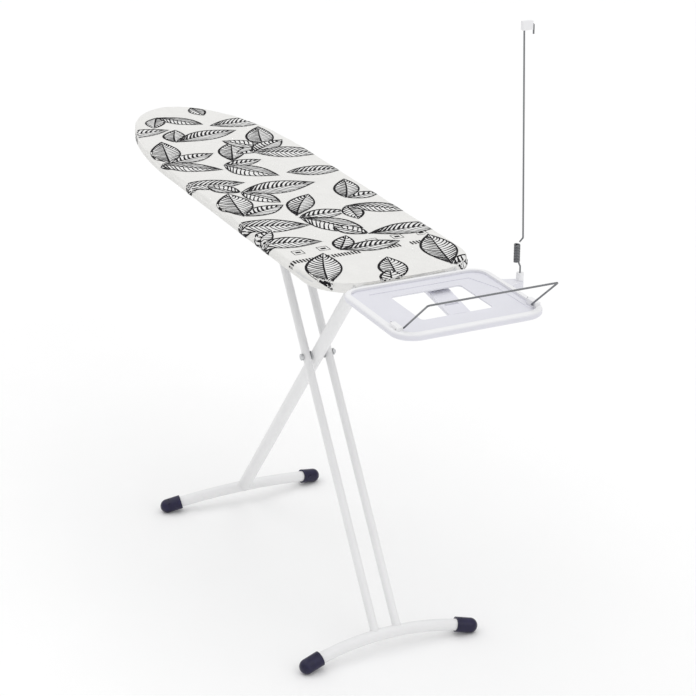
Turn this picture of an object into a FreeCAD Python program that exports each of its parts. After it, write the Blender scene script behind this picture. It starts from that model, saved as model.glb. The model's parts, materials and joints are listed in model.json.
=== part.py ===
"""Folding ironing board: padded board, iron tray, scissor legs, hanging rail and cord guide.

Frame: millimetres, +Z up, floor at Z = 0. X runs along the board, nose towards -X and
iron tray towards +X. Y is across it, and Y = 0 is the plane of symmetry of the legs.
"""
import FreeCAD, Part
import math
import os
import Sketcher
from FreeCAD import Placement, Rotation, Vector

doc = FreeCAD.newDocument("ironing_board")
sheet = doc.addObject("Spreadsheet::Sheet", "Dimensions")

# ---------------------------------------------------------------- driving dimensions
SIZES = {
    # board
    "work_height": 950,         # top of the cover above the floor
    "board_half_width": 191,
    "nose_tip_x": -900.45,
    "nose_length": 510,         # half ellipse
    "board_end_x": 540,
    "board_corner": 120,
    "edge_depth": 25.5,         # top of cover to the underside of its rolled edge
    "cover_cloth": 1.5,
    "cover_return": 38,         # how far the cloth comes back under the board
    "pad_foam": 5,
    "pad_inset": 2,
    "plate_wall": 3.3,
    "rim_wall": 6,
    "soft_gap": 0.3,
    "gate_depth": 60,           # how far the opening for the tray's arms goes in from the wide end
    # guide rails, rack and cross bars under the board
    "rail_tail": 27.91,         # rails past their end stops
    "rail_overrun": 6,          # rails past the board's wide end
    "rail_width": 20,
    "rail_wall": 2,
    "rail_screw_inset": 20,
    "rack_half_width": 11,
    "rack_depth": 7,
    "rack_pitch": 24,
    "rack_overrun": 60,         # rack past the slider at full height
    "crossbar_height": 11,
    "crossbar_width": 12,
    "crossbar_rear_inset": 4,
    "crossbar_front_inset": 45,
    "stop_gap": 5,              # folded carriage to the end stops
    "stop_length": 12,
    # rear leg's bracket
    "bracket_half_length": 30,
    "bracket_cheek_half": 22,
    "bracket_wall": 2,
    "bracket_depth": 14,        # cheeks below the axle
    "axle_head_rise": 2,
    "axle_head_rim": 2.5,
    "spacer_wall": 3,
    # legs
    "axle_clearance": 0.75,     # carriage above the ends of the twin tubes
    "rear_foot_x": -412,
    "rear_axle_x": 338,
    "front_foot_x": 470,
    "slider_x": -119.5,
    "rear_tube": 32,
    "twin_tube": 20,
    "foot_tube": 28,
    "tube_wall": 1.4,
    "foot_half_span": 210,
    "foot_rise": 30,
    "cap_radius": 18,
    "cap_grip": 37,
    "cap_flat": 0.6,            # depth of the worn flat that the cap stands on
    "scissor_gap": 2.1,         # clear space between the big tube and each twin tube
    "scissor_bolt": 8,
    "bushing_wall": 2,
    "bolt_head": 16,
    "bolt_head_rise": 5,
    "bolt_tail": 3,
    "washer_rim": 3,
    "rear_axle": 12,
    "sleeve_rim": 1,            # head sleeve past the big tube all round
    "slider_pin": 8,
    "pin_head_rise": 1.3,
    "pin_head_rim": 2,
    "pin_bite": 0.5,
    "twin_overrun": 12,         # tube past the slider pin
    "plug_grip": 6,
    "running_gap": 0.05,        # radial play of a pin in its bore
    "side_gap": 0.3,
    "cheek_wall": 3,
    "cheek_gap": 2.9,
    "rail_clearance": 2,        # cheeks to the rails beside them
    # slider and height lock
    "carriage_length": 70,
    "carriage_height": 9,
    "carriage_clearance": 1,
    "carriage_cheek_half": 16,
    "carriage_cheek_drop": 12,
    "fold_rise": 5.5,           # room above the carriage for its rise in mid fold
    "rail_play": 0.5,
    "pawl_width": 14,
    "pawl_pin": 5,
    "pawl_pin_ahead": 22,
    "pawl_pin_drop": 6,
    "pawl_tip": 9,
    "pawl_boss": 5,
    "pawl_lug_half": 6,
    "pawl_clearance": 3,
    "rack_clearance": 2,
    "strip_clearance": 1.5,
    # release strip and handle
    "strip_y": 30,
    "strip_width": 12,
    "strip_wall": 3,
    "strip_gap": 0.5,
    "strip_grip": 30,           # strip over the handle
    "staple_first_x": 60,
    "staple_pitch": 190,
    "staple_length": 10,
    "staple_wall": 2.5,
    "handle_gap": 8,            # board's wide end to the handle
    "handle_reach": 197,        # board's wide end to the handle's tip
    "handle_neck": 42,
    "handle_pull": 40,
    "handle_drop": 28,
    "handle_wall": 7,
    "handle_width": 48,
    "handle_offset": 16,
    "handle_relief": 4,
    "handle_slot": 6,
    "handle_slot_pitch": 40,
    "handle_slot_edge": 8,
    # iron tray
    "tray_gap": 10,             # board's wide end to the tray
    "tray_length": 288,
    "tray_half_width": 170,
    "tray_rim": 16,
    "tray_round": 6,
    "tray_wall": 4,
    "tray_panel": 3,
    "rim_width": 13,
    "tray_inner_corner": 44,
    "tray_outer_corner": 50,
    "step_depth": 1.2,
    "step_setback": 30,         # step to the tray's outer end
    "step_chamfer": 18,
    "opening_inset": 66,
    "opening_length": 142,
    "opening_half_width": 82,
    "opening_corner": 9,
    "tray_tube": 12,
    "tray_tube_y": 108,
    "arm_overlap": 70,          # arms under the board
    "arm_inset": 30,            # arms short of the tray's outer end
    "arm_screw_inset": 50,
    "arm_screw_start": 60,
    "arm_screw_pitch": 84,
    # hanging rail on the tray
    "hanger_wire": 4,
    "hanger_bend": 5,
    "hanger_setback": 40,       # pivot to the tray's outer end
    "hanger_rise": 1,           # pivot above the cover
    "hanger_inset": 25.7,       # arms inside the tray's edge
    "hanger_tail": 14,
    "hanger_reach": 130,
    "hanger_tilt": 39.4,
    "clip_width": 12,
    "clip_rear": 26,
    "clip_front": 9,
    "clip_rise": 6,
    "stop_wire_length": 22,
    "stop_wire_reach": 6,
    "stop_wire_rise": 2.5,
    # cord guide
    "guide_inset": 102,         # from the tray's inner end
    "guide_offset": 34,         # from the tray's side
    "guide_foot_half": 20,
    "guide_foot_width": 34,
    "guide_foot_depth": 6,
    "guide_screw_half": 13,
    "guide_wedge_half": 24,
    "guide_wedge_drop": 5,
    "socket_radius": 8,
    "socket_drop": 20,
    "socket_height": 32,
    "socket_floor": 4,
    "guide_wire": 3.6,
    "guide_bend": 3,
    "guide_coil_radius": 7,
    "guide_coil_height": 43,
    "guide_coil_offset": 9,
    "guide_coil_lift": 23,      # coil above its socket
    "guide_jog": 9,             # height of the wire's sideways step at each end of the coil
    "coil_gap": 2.5,
    "guide_rise": 538,          # hook above the cover
    "guide_lean": 10,
    "hook_span": 22,
    "hook_drop": 20,
    "guide_clip_half": 5,
    "guide_clip_low": 10,
    "guide_clip_high": 8,
    # screws
    "screw_shank": 4,
    "screw_head": 8,
    "head_rise": 1.8,
    "screw_bite": 2.3,          # screw shank inside the plastic
}
for row, (name, value) in enumerate(SIZES.items(), start=1):
    sheet.set("A%d" % row, name)
    sheet.set("B%d" % row, str(value))
    sheet.setAlias("B%d" % row, name)
doc.recompute()


def size(name):
    """A driving dimension, read back from the sheet."""
    return float(sheet.get(name))


def bind(item, prop, expression):
    """Ties a property to the sheet; names in braces stand for sheet cells."""
    item.setExpression(prop, expression.replace("{", "Dimensions.").replace("}", ""))


# ---------------------------------------------------------------- derived places
PAST = 1    # how far a cutting tool passes the face that it cuts
SIDES = {"left": 1, "right": -1}
CLOTH = size("cover_cloth")
SOFT = size("soft_gap")
RAIL_WALL = size("rail_wall")

# levels, from the cover down to the leg axles
TOP = size("work_height")
EDGE_BOTTOM = TOP - size("edge_depth")
PAD_TOP = TOP - CLOTH - SOFT
PLATE_TOP = PAD_TOP - size("pad_foam") - SOFT / 2
PLATE_BOTTOM = PLATE_TOP - size("plate_wall")
SHELL_BOTTOM = EDGE_BOTTOM + CLOTH + SOFT
CARRIAGE_TOP = PLATE_BOTTOM - RAIL_WALL - size("rail_play") - size("fold_rise")
CARRIAGE_Z = CARRIAGE_TOP - size("carriage_height")
RAIL_BOTTOM = CARRIAGE_Z - size("carriage_clearance") - RAIL_WALL
AXLE_Z = CARRIAGE_Z - size("axle_clearance") - size("twin_tube") / 2 - size("twin_overrun")
FOOT_Z = size("cap_radius") - size("cap_flat")
STRIP_TOP = PLATE_BOTTOM - size("strip_gap") - size("strip_wall")
RIM_BOTTOM = TOP - size("tray_rim")

# offsets from the middle plane
BOARD_Y = size("board_half_width")
TWIN_Y = size("rear_tube") / 2 + size("scissor_gap") + size("twin_tube") / 2
CHEEK_Y = TWIN_Y + size("twin_tube") / 2 + size("cheek_gap")
BRACKET_Y = CHEEK_Y + size("cheek_wall")
RAIL_Y = BRACKET_Y + size("rail_clearance")
WEB_Y = RAIL_Y + size("rail_width")
GATE_Y = size("tray_tube_y") + size("tray_tube")
TRAY_Y = size("tray_half_width")
HANGER_Y = TRAY_Y - size("hanger_inset")

# places along the board
BOARD_END = size("board_end_x")
RAIL_END = BOARD_END + size("rail_overrun")
TRAY_START = BOARD_END + size("tray_gap")
TRAY_END = TRAY_START + size("tray_length")

rear_foot = Vector(size("rear_foot_x"), 0, FOOT_Z)
rear_head = Vector(size("rear_axle_x"), 0, AXLE_Z)
front_foot = Vector(size("front_foot_x"), 0, FOOT_Z)
front_head = Vector(size("slider_x"), 0, AXLE_Z)
rear_axis = (rear_head - rear_foot).normalize()
front_axis = (front_head - front_foot).normalize()
rear_length = (rear_head - rear_foot).Length
front_length = (front_head - front_foot).Length
# both legs share the same foot and axle heights, so they cross at the same share of each
cross_share = (front_foot.x - rear_foot.x) / (rear_head.x - rear_foot.x + front_foot.x - front_head.x)
scissor = rear_foot + (rear_head - rear_foot) * cross_share
# folded flat, both legs lie along the rails, and the carriage is near its end stops
FOLDED_X = rear_head.x - (rear_head - scissor).Length - (front_head - scissor).Length
STOP_END = FOLDED_X - size("carriage_length") / 2 - size("stop_gap")
STOP_START = STOP_END - size("stop_length")
RAIL_START = STOP_START - size("rail_tail")


def along(direction, origin=Vector()):
    """Placement that turns local Z to a direction."""
    return Placement(origin, Rotation(Vector(0, 0, 1), direction))


def leg_frame(origin, axis):
    """Placement with local Z up the leg and local Y across the board."""
    across = Vector(0, 1, 0)
    return Placement(origin, Rotation(across.cross(axis), across, axis, "ZYX"))


# ---------------------------------------------------------------- small builders
NODES = []


def finished(item, label):
    """Names a sub-part, which makes it a node of the model."""
    item.Label = label
    NODES.append(item)
    return item


def rod(name, radius, length, place):
    """Round bar whose radius and length are expressions or plain numbers."""
    item = doc.addObject("Part::Cylinder", name)
    for prop, amount in (("Radius", radius), ("Height", length)):
        if isinstance(amount, str):
            bind(item, prop, amount)
        else:
            setattr(item, prop, amount)
    item.Placement = place
    return item


def block(name, low, high):
    """Box between two corners."""
    item = doc.addObject("Part::Box", name)
    item.Length, item.Width, item.Height = high - low
    item.Placement = Placement(low, Rotation())
    return item


def cut(name, base, *tools):
    """Base less every tool."""
    item = doc.addObject("Part::Cut", name)
    item.Base = base
    item.Tool = tools[0] if len(tools) == 1 else joined(name + "_tools", *tools)
    return item


def joined(name, *shapes):
    """Union of shapes."""
    item = doc.addObject("Part::MultiFuse", name)
    item.Shapes = list(shapes)
    return item


def group(name, shapes):
    """Several separate solids kept as one node."""
    item = doc.addObject("Part::Compound", name)
    item.Links = list(shapes)
    return item


def across_rod(name, radius, point, low_y, high_y):
    """Round bar along Y through a point, between two Y values."""
    start = Vector(point.x, low_y, point.z)
    return rod(name, radius, high_y - low_y, along(Vector(0, 1, 0), start))


def tube(name, outer, wall, length, place):
    """Round tube."""
    skin = rod(name + "_skin", outer, length, place)
    bore = rod(name + "_bore", "%s - %s" % (outer, wall), length, place)
    return cut(name + "_tube", skin, bore)


def plane(body, role):
    return next(feature for feature in body.Origin.OriginFeatures if feature.Role == role)


def sketch_on(body, name, edges, level, role="XY_Plane"):
    """Sketch of closed outlines at a level above one of the body's own planes."""
    sketch = body.newObject("Sketcher::SketchObject", name)
    sketch.AttachmentSupport = [(plane(body, role), "")]
    sketch.MapMode = "FlatFace"
    sketch.AttachmentOffset = Placement(Vector(0, 0, level), Rotation())
    for edge in edges:
        sketch.addGeometry(edge, False)
    return sketch


def pad(body, name, edges, level, length, role="XY_Plane", both=False):
    """Pad from an outline; length is an expression."""
    feature = body.newObject("PartDesign::Pad", name)
    feature.Profile = sketch_on(body, name + "_outline", edges, level, role)
    bind(feature, "Length", length)
    if both:
        feature.Midplane = True
    return feature


def pocket(body, name, edges, level, length, upward=False):
    """Pocket from an outline, down from its level unless upward."""
    feature = body.newObject("PartDesign::Pocket", name)
    feature.Profile = sketch_on(body, name + "_outline", edges, level)
    bind(feature, "Length", length)
    feature.Reversed = upward
    doc.recompute()
    return feature


def soften(body, name, levels, radius):
    """Rounds the outline edges that lie at the given levels."""
    doc.recompute()
    base = body.Tip
    edges = []
    for number, edge in enumerate(base.Shape.Edges, start=1):
        box = edge.BoundBox
        if box.ZLength < 1e-6 and any(abs(box.ZMin - level) < 1e-6 for level in levels):
            edges.append("Edge%d" % number)
    feature = body.newObject("PartDesign::Fillet", name)
    feature.Base = (base, edges)
    bind(feature, "Radius", radius)
    doc.recompute()
    return feature


def chain(points):
    """Closed straight-sided outline."""
    corners = [Vector(x, y, 0) for x, y in points]
    return [Part.LineSegment(a, b) for a, b in zip(corners, corners[1:] + corners[:1])]


def arc(centre, radius, start, end):
    """Arc in a sketch, angles in degrees, counter-clockwise."""
    circle = Part.Circle(Vector(centre[0], centre[1], 0), Vector(0, 0, 1), radius)
    return Part.ArcOfCircle(circle, math.radians(start), math.radians(end))


def line(a, b):
    return Part.LineSegment(Vector(a[0], a[1], 0), Vector(b[0], b[1], 0))


def rounded_rectangle(x0, x1, half, low_radius, high_radius):
    """Rectangle across Y = 0 with one corner radius at each end."""
    low, high = x0 + low_radius, x1 - high_radius
    low_y, high_y = half - low_radius, half - high_radius
    return [
        line((low, -half), (high, -half)),
        arc((high, -high_y), high_radius, 270, 360),
        line((x1, -high_y), (x1, high_y)),
        arc((high, high_y), high_radius, 0, 90),
        line((high, half), (low, half)),
        arc((low, low_y), low_radius, 90, 180),
        line((x0, low_y), (x0, -low_y)),
        arc((low, -low_y), low_radius, 180, 270),
    ]


def board_outline(inset):
    """Plan of the board: half-elliptical nose, straight sides, rounded wide end."""
    nose = size("nose_tip_x") + size("nose_length")
    half = BOARD_Y - inset
    end = BOARD_END - inset
    corner = size("board_corner") - inset
    inner = half - corner
    ellipse = Part.Ellipse(Vector(nose, 0, 0), size("nose_length") - inset, half)
    return [
        Part.ArcOfEllipse(ellipse, math.pi / 2, 3 * math.pi / 2),
        line((nose, -half), (end - corner, -half)),
        arc((end - corner, -inner), corner, 270, 360),
        line((end, -inner), (end, inner)),
        arc((end - corner, inner), corner, 0, 90),
        line((end - corner, half), (nose, half)),
    ]


def wire_rod(name, points, bend, radius):
    """Wire swept along straight runs joined by tangent arcs."""
    corners = [Vector(*point) for point in points]
    edges, start = [], corners[0]
    for before, corner, after in zip(corners, corners[1:], corners[2:]):
        to_before = (before - corner).normalize()
        to_after = (after - corner).normalize()
        half_turn = (math.pi - to_before.getAngle(to_after)) / 2
        setback = bend * math.tan(half_turn)
        first, last = corner + to_before * setback, corner + to_after * setback
        inward = (to_before + to_after).normalize()
        middle = corner + inward * (bend / math.cos(half_turn) - bend)
        edges.append(Part.makeLine(start, first))
        edges.append(Part.Arc(first, middle, last).toShape())
        start = last
    edges.append(Part.makeLine(start, corners[-1]))
    path = Part.Wire(edges)
    section = Part.Wire(Part.makeCircle(radius, corners[0], corners[1] - corners[0]))
    item = doc.addObject("Part::Feature", name)
    item.Shape = path.makePipeShell([section], True, False)
    return item


# ---------------------------------------------------------------- board
def build_board():
    """Moulded shell, foam pad and cloth cover, one over the other."""
    rim_inset = CLOTH + SOFT
    gate_x = BOARD_END - size("gate_depth")
    notch = chain([(gate_x, -GATE_Y), (BOARD_END + PAST, -GATE_Y), (BOARD_END + PAST, GATE_Y),
                   (gate_x, GATE_Y)])

    shell = doc.addObject("PartDesign::Body", "Shell")
    pad(shell, "ShellBlock", board_outline(rim_inset), SHELL_BOTTOM,
        "{work_height} - {cover_cloth} - 1.5 * {soft_gap} - {pad_foam} - %f" % SHELL_BOTTOM)
    soften(shell, "ShellEdges", (SHELL_BOTTOM, PLATE_TOP), "{rim_wall} - %d" % PAST)
    depth = "%f" % (PLATE_BOTTOM - SHELL_BOTTOM)
    pocket(shell, "ShellHollow", board_outline(rim_inset + size("rim_wall")), SHELL_BOTTOM, depth, True)
    pocket(shell, "ShellNotch", notch, SHELL_BOTTOM, depth, True)

    foam = doc.addObject("PartDesign::Body", "Foam")
    pad(foam, "FoamBlock", board_outline(rim_inset + size("pad_inset")), PAD_TOP - size("pad_foam"),
        "{pad_foam}")
    soften(foam, "FoamEdges", (PAD_TOP,), "{pad_foam} - %d" % PAST)

    cloth = doc.addObject("PartDesign::Body", "Cloth")
    pad(cloth, "ClothBlock", board_outline(0), EDGE_BOTTOM, "{edge_depth}")
    soften(cloth, "ClothEdges", (EDGE_BOTTOM, TOP), "{rim_wall} + {cover_cloth} - %d" % PAST)
    inside = doc.addObject("PartDesign::Body", "ClothInside")
    pad(inside, "InsideBlock", board_outline(CLOTH), EDGE_BOTTOM + CLOTH,
        "{edge_depth} - 2 * {cover_cloth}")
    soften(inside, "InsideEdges", (EDGE_BOTTOM + CLOTH, TOP - CLOTH), "{rim_wall} - %d" % PAST)
    window = doc.addObject("PartDesign::Body", "ClothWindow")
    pad(window, "WindowBlock", board_outline(size("cover_return")), EDGE_BOTTOM - PAST,
        "{cover_cloth} + %d" % (2 * PAST))
    gate = doc.addObject("PartDesign::Body", "ClothGate")
    pad(gate, "GateBlock", notch, EDGE_BOTTOM - PAST, "%f" % (PLATE_BOTTOM + 2 * PAST - EDGE_BOTTOM))
    finished(foam, "board_pad")
    finished(cut("Cover", cloth, inside, window, gate), "board_cover")
    return shell


def screws_and_holes(name, places, reach):
    """Pan-head screws, heads below their places and shanks above, and a hole for each shank."""
    drop = Placement(Vector(0, 0, -size("head_rise")), Rotation())
    screws, holes = [], []
    for number, place in enumerate(places):
        head = rod("%sHead%d" % (name, number), "{screw_head} / 2", "{head_rise}", place.multiply(drop))
        shank = rod("%sShank%d" % (name, number), "{screw_shank} / 2", reach, place)
        screws.append(joined("%sScrew%d" % (name, number), head, shank))
        holes.append(rod("%sHole%d" % (name, number), "{screw_shank} / 2", reach, place))
    return group(name + "Screws", screws), holes


def mirrored_y(side, inner, outer):
    """Lowest and highest Y of a piece that reaches from inner to outer on one side."""
    return sorted((side * inner, side * outer))


def build_rails():
    """Two C rails that open inwards, with their screws.

    Returns the screw holes, which go on into the shell.
    """
    inset = size("rail_screw_inset")
    first_x = size("slider_x") + 2 * size("carriage_length")    # clear of the carriage
    step = (RAIL_END - inset - first_x) / 3
    shank_x = [RAIL_START + inset] + [first_x + number * step for number in range(4)]
    head_z = PLATE_BOTTOM - RAIL_WALL
    spots = [Placement(Vector(x, side * (RAIL_Y + WEB_Y) / 2, head_z), Rotation())
             for side in SIDES.values() for x in shank_x]
    screws, holes = screws_and_holes("Rail", spots, RAIL_WALL + size("screw_bite"))
    hole_set = joined("RailHoles", *holes)
    for name, side in SIDES.items():
        inner = WEB_Y - RAIL_WALL
        profile = chain([(side * y, z) for y, z in (
            (RAIL_Y, RAIL_BOTTOM), (WEB_Y, RAIL_BOTTOM), (WEB_Y, PLATE_BOTTOM), (RAIL_Y, PLATE_BOTTOM),
            (RAIL_Y, head_z), (inner, head_z), (inner, RAIL_BOTTOM + RAIL_WALL),
            (RAIL_Y, RAIL_BOTTOM + RAIL_WALL))])
        rail = doc.addObject("PartDesign::Body", "Rail_" + name)
        pad(rail, "RailPad_" + name, profile, RAIL_START,
            "{board_end_x} + {rail_overrun} - %f" % RAIL_START, "YZ_Plane")
        finished(cut("RailCut_" + name, rail, hole_set), "guide_rail_" + name)
    finished(screws, "rail_screws")
    return holes


def build_rail_fittings():
    """Cross bars between the rails, stops inside them and the toothed rack of the height lock."""
    places = (("rear", RAIL_START + size("crossbar_rear_inset")),
              ("front", BOARD_END - size("crossbar_front_inset")))
    for name, x in places:
        low = Vector(x, -RAIL_Y, RAIL_BOTTOM)
        high = Vector(x + size("crossbar_width"), RAIL_Y, RAIL_BOTTOM + size("crossbar_height"))
        finished(block("Crossbar_" + name, low, high), "crossbar_" + name)

    stops = []
    for name, side in SIDES.items():
        low_y, high_y = mirrored_y(side, RAIL_Y + PAST, WEB_Y - RAIL_WALL)
        stops.append(block("Stop_" + name, Vector(STOP_START, low_y, RAIL_BOTTOM + RAIL_WALL),
                           Vector(STOP_END, high_y, PLATE_BOTTOM - RAIL_WALL)))
    finished(group("EndStops", stops), "end_stops")

    half, depth, pitch = size("rack_half_width"), size("rack_depth"), size("rack_pitch")
    low = Vector(FOLDED_X - size("rack_overrun") / 2, -half, PLATE_BOTTOM - depth)
    high = Vector(size("slider_x") + size("rack_overrun"), half, PLATE_BOTTOM)
    notches = []
    for number in range(int((high.x - low.x - pitch) // pitch) + 1):
        x = low.x + pitch / 2 + number * pitch
        notches.append(block("Notch%d" % number, Vector(x, -half - PAST, low.z - PAST),
                             Vector(x + pitch / 2, half + PAST, low.z + depth / 2)))
    finished(cut("Rack", block("RackBar", low, high), *notches), "height_rack")


def build_leg_bracket():
    """Inverted U that carries the rear leg's axle, with the axle and its two spacers."""
    x, half = size("rear_axle_x"), size("bracket_half_length")
    web = block("BracketWeb", Vector(x - half, -RAIL_Y, PLATE_BOTTOM - size("bracket_wall")),
                Vector(x + half, RAIL_Y, PLATE_BOTTOM))
    cheek_half = size("bracket_cheek_half")
    cheeks = []
    for name, side in SIDES.items():
        low_y, high_y = mirrored_y(side, CHEEK_Y, BRACKET_Y)
        cheeks.append(block("BracketCheek_" + name,
                            Vector(x - cheek_half, low_y, AXLE_Z - size("bracket_depth")),
                            Vector(x + cheek_half, high_y, PLATE_BOTTOM - PAST)))
    hole = across_rod("BracketHole", "{rear_axle} / 2", rear_head, -BRACKET_Y - PAST, BRACKET_Y + PAST)
    finished(cut("Bracket", joined("BracketBlank", web, *cheeks), hole), "leg_bracket")

    head_y = BRACKET_Y + size("axle_head_rise")
    pin = across_rod("AxlePin", "{rear_axle} / 2", rear_head, -head_y, head_y)
    heads = []
    spacers = []
    sleeve_y = size("rear_tube") / 2 + size("sleeve_rim") + size("side_gap")
    for name, side in SIDES.items():
        low_y, high_y = mirrored_y(side, BRACKET_Y, head_y)
        heads.append(across_rod("AxleHead_" + name, "{rear_axle} / 2 + {axle_head_rim}", rear_head,
                                low_y, high_y))
        low_y, high_y = mirrored_y(side, sleeve_y, CHEEK_Y)
        ring = across_rod("SpacerRing_" + name, "{rear_axle} / 2 + {spacer_wall}", rear_head, low_y, high_y)
        bore = across_rod("SpacerBore_" + name, "{rear_axle} / 2", rear_head, low_y, high_y)
        spacers.append(cut("Spacer_" + name, ring, bore))
    finished(joined("Axle", pin, *heads), "rear_axle")
    finished(group("AxleSpacers", spacers), "axle_spacers")


# ---------------------------------------------------------------- legs
def foot_shapes(name, foot, axis):
    """Arched foot tube in the leg's own plane, its solid envelope and its two end caps."""
    half, rise = size("foot_half_span"), size("foot_rise")
    bend = (half ** 2 + rise ** 2) / (2 * rise)
    reach = math.degrees(math.asin(half / bend))
    across = Vector(0, 1, 0)
    centre = foot + axis * (rise - bend)
    start = axis * math.cos(math.radians(reach)) - across * math.sin(math.radians(reach))
    normal = axis.cross(across)
    place = Placement(centre, Rotation(start, normal.cross(start), normal, "ZXY"))

    def ring(part, radius):
        item = doc.addObject("Part::Torus", name + part)
        bind(item, "Radius1", "({foot_half_span} ^ 2 + {foot_rise} ^ 2) / (2 * {foot_rise})")
        bind(item, "Radius2", radius)
        item.Angle3 = 2 * reach
        item.Placement = place
        return item

    envelope = ring("Envelope", "{foot_tube} / 2")
    bore = ring("Bore", "{foot_tube} / 2 - {tube_wall}")
    arch = cut(name + "Arch", envelope, bore)
    reach_y = half + 3 * size("cap_radius")
    below = block(name + "Below", Vector(foot.x - reach_y, -reach_y, -2 * size("cap_radius")),
                  Vector(foot.x + reach_y, reach_y, 0))
    caps = {}
    for side_name, side in SIDES.items():
        angle = math.radians(reach) * side
        end = centre + (axis * math.cos(angle) + across * math.sin(angle)) * bend
        inward = (axis * math.sin(angle) - across * math.cos(angle)) * side
        ball = doc.addObject("Part::Sphere", name + "Ball_" + side_name)
        bind(ball, "Radius", "{cap_radius}")
        ball.Placement = Placement(end, Rotation())
        barrel = rod(name + "Barrel_" + side_name, "{cap_radius}", "{cap_grip}", along(inward, end))
        blank = joined(name + "Blank_" + side_name, ball, barrel)
        caps[side_name] = cut(name + "Cap_" + side_name, blank, envelope, below)
    return arch, envelope, caps


def build_rear_leg():
    """Single large tube with its head sleeve, scissor bushing, spacers, arched foot and caps."""
    arch, envelope, caps = foot_shapes("RearFoot", rear_foot, rear_axis)
    rise = size("foot_rise")
    start = rear_foot + rear_axis * rise
    place = leg_frame(start, rear_axis)
    body = tube("RearLeg", "{rear_tube} / 2", "{tube_wall}", rear_length - rise, place)
    sleeve_half = size("rear_tube") / 2 + size("sleeve_rim")
    sleeve = across_rod("SleeveSkin", "{rear_tube} / 2 + {sleeve_rim}", rear_head,
                        -sleeve_half, sleeve_half)
    sleeve_bore = across_rod("SleeveBore", "{rear_axle} / 2 + {running_gap}", rear_head,
                             -sleeve_half, sleeve_half)
    bushing_half = size("rear_tube") / 2 + size("scissor_gap") - size("side_gap")
    bushing = across_rod("BushingSkin", "{scissor_bolt} / 2 + {bushing_wall}", scissor,
                         -bushing_half, bushing_half)
    bushing_bore = across_rod("BushingBore", "{scissor_bolt} / 2 + {running_gap}", scissor,
                              -bushing_half, bushing_half)
    finished(cut("RearLegTube", body, envelope, sleeve, bushing), "rear_leg_tube")
    finished(cut("HeadSleeve", sleeve, sleeve_bore), "rear_leg_head")
    finished(cut("Bushing", bushing, bushing_bore), "scissor_bushing")
    washers = []
    for name, side in SIDES.items():
        low_y, high_y = mirrored_y(side, size("rear_tube") / 2, bushing_half)
        disc = across_rod("Washer_" + name, "{bolt_head} / 2 + {washer_rim}", scissor, low_y, high_y)
        washers.append(cut("WasherCut_" + name, disc, bushing))
    finished(group("Washers", washers), "scissor_spacers")
    finished(arch, "rear_foot_tube")
    for name, cap in caps.items():
        finished(cap, "rear_foot_cap_" + name)


def build_front_leg():
    """Twin tubes with their end plugs and slider pins, the scissor bolt, foot and caps."""
    arch, envelope, caps = foot_shapes("FrontFoot", front_foot, front_axis)
    radius = size("twin_tube") / 2
    outer_y = TWIN_Y + radius
    bolt_end = outer_y + size("bolt_head_rise") + size("bolt_tail")
    bolt = across_rod("BoltShank", "{scissor_bolt} / 2", scissor, -bolt_end, outer_y)
    start_share = size("foot_rise") - PAST
    length = front_length - start_share + size("twin_overrun")
    washer_y = BRACKET_Y + size("side_gap")
    plugs = []
    for name, side in SIDES.items():
        offset = Vector(0, side * TWIN_Y, 0)
        place = leg_frame(front_foot + front_axis * start_share + offset, front_axis)
        body = tube("Twin_" + name, "{twin_tube} / 2", "{tube_wall}", length, place)
        low_y, high_y = mirrored_y(side, TWIN_Y - radius + size("pin_bite"), washer_y)
        pin = across_rod("PinShank_" + name, "{slider_pin} / 2", front_head, low_y, high_y)
        low_y, high_y = mirrored_y(side, washer_y, washer_y + size("pin_head_rise"))
        pin_head = across_rod("PinHead_" + name, "{slider_pin} / 2 + {pin_head_rim}", front_head,
                              low_y, high_y)
        finished(cut("TwinTube_" + name, body, envelope, bolt, pin), "front_leg_tube_" + name)
        finished(joined("Pin_" + name, pin, pin_head), "slider_pin_" + name)
        tube_end = front_head + front_axis * size("twin_overrun") + offset
        dome = doc.addObject("Part::Sphere", "PlugDome_" + name)
        bind(dome, "Radius", "{twin_tube} / 2")
        dome.Angle1 = 0
        dome.Placement = leg_frame(tube_end, front_axis)
        stem = rod("PlugStem_" + name, "{twin_tube} / 2 - {tube_wall}", "{plug_grip}",
                   leg_frame(tube_end - front_axis * size("plug_grip"), front_axis))
        plugs.append(joined("Plug_" + name, dome, stem))
    finished(group("TubePlugs", plugs), "front_leg_plugs")

    head = across_rod("BoltHead", "{bolt_head} / 2", scissor, -outer_y - size("bolt_head_rise"), -outer_y)
    tail = across_rod("BoltTail", "{scissor_bolt} / 2", scissor, outer_y, bolt_end)
    middle = across_rod("BoltBody", "{scissor_bolt} / 2", scissor, -outer_y, outer_y)
    finished(joined("ScissorBolt", head, middle, tail), "scissor_bolt")
    nut = doc.addObject("Part::Prism", "NutBlank")
    nut.Polygon = 6
    bind(nut, "Circumradius", "{bolt_head} / 2")
    bind(nut, "Height", "{bolt_head_rise}")
    nut.Placement = along(Vector(0, 1, 0), Vector(scissor.x, outer_y, scissor.z))
    finished(cut("ScissorNut", nut, tail), "scissor_nut")
    finished(arch, "front_foot_tube")
    for name, cap in caps.items():
        finished(cap, "front_foot_cap_" + name)


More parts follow.
